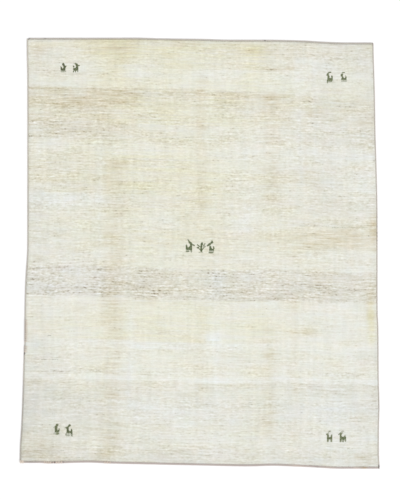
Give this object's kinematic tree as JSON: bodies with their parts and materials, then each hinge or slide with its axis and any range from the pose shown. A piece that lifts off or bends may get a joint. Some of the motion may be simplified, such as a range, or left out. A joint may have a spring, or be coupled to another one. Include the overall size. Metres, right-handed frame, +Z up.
{
  "type": "gabbeh rug",
  "caption": "Flat hand-knotted wool pile rug with overcast side cords and narrow woven end bands, to lie on a floor.",
  "frame": {"origin": "middle of the rug's bounding box, on the floor that it lies on", "axes": "+Z up, out of the pile; +Y along the warps, towards the narrower end; +X across the rug, with the pile up and the narrower end away"},
  "size_m": [2.5319, 3.032, 0.0125],
  "materials": {
    "ivory_wool_pile": "short cut wool pile, hand spun, with uneven dye bands",
    "mauve_grey_wool_edge": "overcast and flat-woven wool yarn"
  },
  "bodies": {
    "root": {"pile_field": "ivory_wool_pile", "side_cord_west": "mauve_grey_wool_edge", "side_cord_east": "mauve_grey_wool_edge", "end_band_north": "mauve_grey_wool_edge", "end_band_south": "mauve_grey_wool_edge"}
  },
  "joints": []
}
